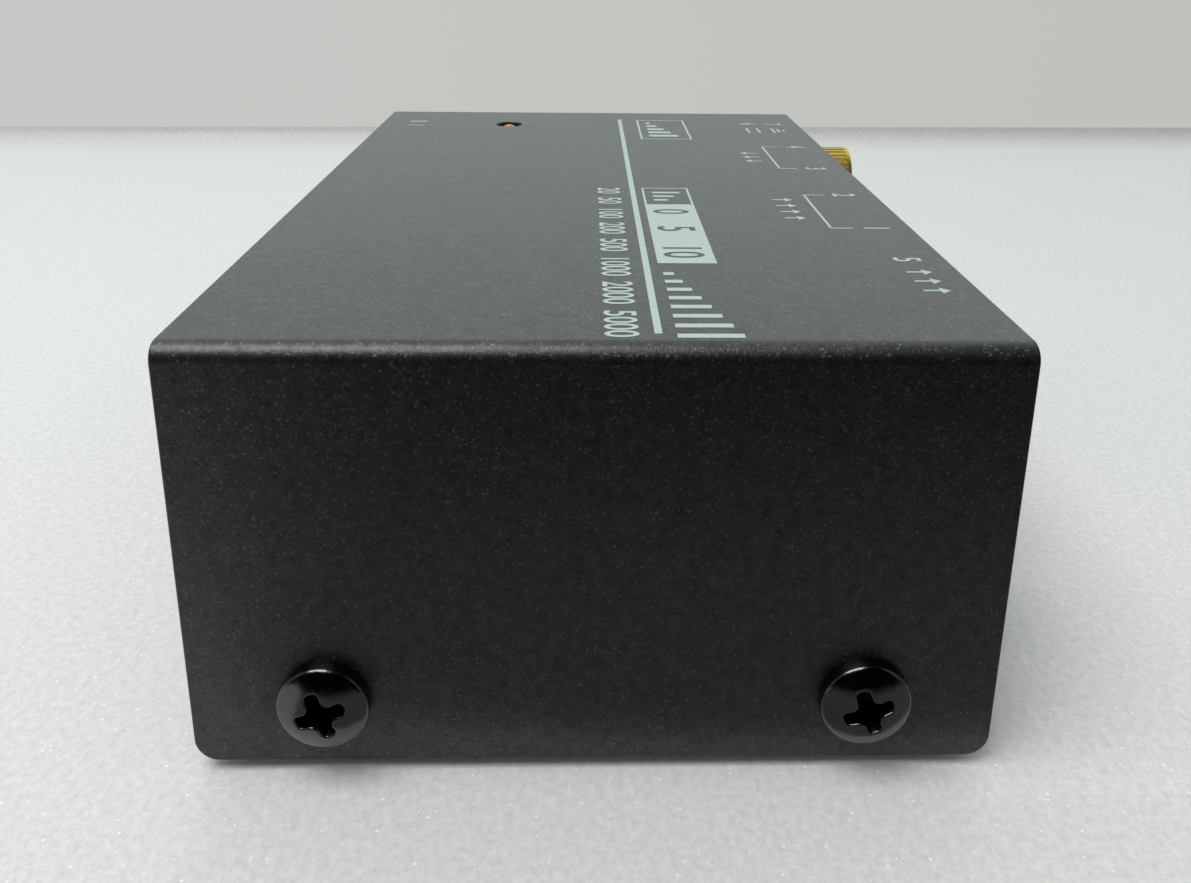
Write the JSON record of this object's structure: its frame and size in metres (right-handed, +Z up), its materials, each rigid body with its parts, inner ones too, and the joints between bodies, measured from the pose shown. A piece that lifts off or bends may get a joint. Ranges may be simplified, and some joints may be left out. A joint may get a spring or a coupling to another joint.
{
  "type": "phono preamplifier",
  "caption": "Small black sheet-metal phono preamplifier with phono sockets, a 6.35 mm output jack, a supply inlet and a knurled ground terminal on one long side.",
  "frame": {"origin": "on the ground, under the middle of the whole object's box", "axes": "+X along the case, towards the end beside the 6.35 mm jack; +Y out of the connector side; +Z up"},
  "size_m": [0.1076, 0.0754, 0.038],
  "materials": {
    "powder_coat": "charcoal black powder coat, fine sand texture, satin",
    "black_screw": "glossy black zinc and lacquer",
    "foot_rubber": "matte moulded rubber",
    "solder_mask": "green solder mask on glass-fibre laminate",
    "zinc_steel": "bright zinc",
    "moulded_black": "moulded black thermoplastic, satin",
    "nickel_plate": "bright nickel plate",
    "red_insulator": "moulded red thermoplastic",
    "white_insulator": "moulded white thermoplastic",
    "contact_bronze": "tinned spring bronze",
    "gold_plate": "thin gold plate, satin",
    "amber_lens": "clear amber epoxy lens, unlit",
    "wire_green": "green vinyl insulation",
    "package_black": "moulded epoxy",
    "can_sleeve": "shrink sleeve over an aluminium can",
    "film_red": "dipped epoxy",
    "resistor_enamel": "beige enamel",
    "screen_ink": "pale grey-green screen-printed ink on the top"
  },
  "bodies": {
    "case": {"cover": "powder_coat", "tray": "powder_coat", "cover_screws": "black_screw", "feet": "foot_rubber", "circuit_board": "solder_mask", "board_spacers": "zinc_steel", "board_screws": "zinc_steel", "output_rca_housing": "moulded_black", "input_rca_housing": "moulded_black", "output_right_shell": "nickel_plate", "output_left_shell": "nickel_plate", "input_right_shell": "nickel_plate", "input_left_shell": "nickel_plate", "output_right_insulator": "red_insulator", "output_left_insulator": "white_insulator", "input_right_insulator": "red_insulator", "input_left_insulator": "white_insulator", "rca_centre_contacts": "contact_bronze", "rca_panel_screws": "black_screw", "jack_housing": "moulded_black", "jack_bushing": "nickel_plate", "jack_nut": "nickel_plate", "jack_washer": "nickel_plate", "jack_tip_spring": "contact_bronze", "jack_ring_spring": "contact_bronze", "jack_sleeve_contact": "contact_bronze", "inlet_housing": "moulded_black", "inlet_centre_pin": "nickel_plate", "inlet_sleeve_spring": "contact_bronze", "ground_stud": "gold_plate", "ground_inner_nut": "zinc_steel", "ground_solder_lug": "zinc_steel", "ground_lead": "wire_green", "power_light": "amber_lens", "light_spacer": "moulded_black", "light_leads": "zinc_steel", "op_amps": "package_black", "electrolytic_capacitors": "can_sleeve", "film_capacitors": "film_red", "resistors": "resistor_enamel", "voltage_regulator": "package_black", "reservoir_capacitor": "can_sleeve", "supply_diode": "package_black"},
    "clamp_washer": {"ground_washer": "gold_plate"},
    "thumb_nut": {"ground_thumb_nut": "gold_plate"}
  },
  "joints": [
    {"name": "clamp_slide", "type": "slide", "parent": "case", "child": "clamp_washer", "axis": [0, 1, 0], "range_m": [0, 0.003]},
    {"name": "thumb_nut_turn", "type": "hinge", "parent": "clamp_washer", "child": "thumb_nut", "pos_m": [-0.038, 0.02985, 0.03], "axis": [0, 1, 0], "range_deg": [0, 1543]}
  ],
  "couplings": [
    {"joint": "thumb_nut_turn", "follows": "clamp_slide", "rad_per_m": 8976}
  ]
}
